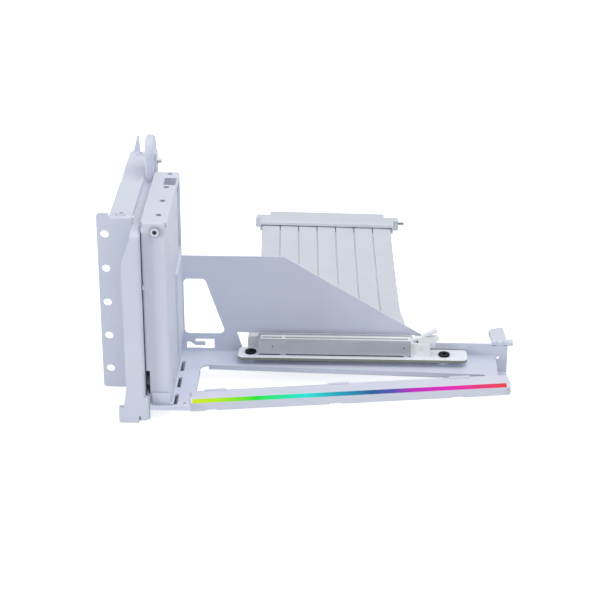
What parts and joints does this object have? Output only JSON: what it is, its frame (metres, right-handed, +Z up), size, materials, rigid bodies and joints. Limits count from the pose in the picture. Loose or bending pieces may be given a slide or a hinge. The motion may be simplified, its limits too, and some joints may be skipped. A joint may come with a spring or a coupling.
{
  "type": "vertical graphics card mount",
  "caption": "Vertical graphics card mount: slotted case bracket, slide rail and card frame on a folded tray with riser socket, slanted light bar, hinged rest and flat ribbon with plug.",
  "frame": {"origin": "under the middle of the mount without its ribbon and plug, on the surface that it stands on", "axes": "+X along the card from the case bracket to the hinged rest, +Y towards the main board and the ribbon's plug, +Z up"},
  "size_m": [0.2322, 0.2984, 0.1382],
  "materials": {
    "white_paint": "fine satin powder coat",
    "white_plastic": "moulded satin",
    "steel": "plated",
    "black_steel": "black oxide",
    "shroud_steel": "stamped sheet",
    "white_board": "white mask on laminate",
    "gold": "gold plate",
    "lens": "translucent",
    "ribbon": "soft vinyl"
  },
  "bodies": {
    "mount": {"case_bracket": "white_paint", "bracket_tail": "white_paint", "gpu_frame": "white_paint", "mount_tray": "white_paint", "led_housing": "white_paint", "bracket_spacers": "white_paint", "tie_spacers": "white_paint", "board_standoffs": "white_paint", "bracket_screws": "white_paint", "frame_screw": "white_paint", "flap_pin": "white_paint", "slide_rail": "white_plastic", "rail_hook": "white_plastic", "led_end_caps": "white_plastic", "led_clips": "white_plastic", "socket_body": "white_plastic", "ribbon_clamp": "white_plastic", "plug_base": "white_plastic", "plug_cover": "white_plastic", "plug_cap": "white_plastic", "hook_screw": "steel", "tie_screws": "steel", "tray_screws": "steel", "led_end_screw": "steel", "board_screws": "black_steel", "socket_shroud": "shroud_steel", "socket_board": "white_board", "led_board": "white_board", "plug_board": "white_board", "socket_contacts": "gold", "plug_fingers": "gold", "led_diffuser": "lens", "led_chips": "lens", "ribbon_strip_1": "ribbon", "ribbon_strip_2": "ribbon", "ribbon_strip_3": "ribbon", "ribbon_strip_4": "ribbon", "ribbon_strip_5": "ribbon", "ribbon_strip_6": "ribbon", "ribbon_strip_7": "ribbon"},
    "latch": {"socket_latch": "white_plastic"},
    "flap": {"support_flap": "white_paint"}
  },
  "joints": [
    {"name": "latch_hinge", "type": "hinge", "parent": "mount", "child": "latch", "pos_m": [0.063, 0.00125, 0.0195], "axis": [0, 1, 0], "range_deg": [0, 30]},
    {"name": "flap_hinge", "type": "hinge", "parent": "mount", "child": "flap", "pos_m": [0.10855, 0.00835, 0.01995], "axis": [1, 0, 0], "range_deg": [0, 90]}
  ]
}
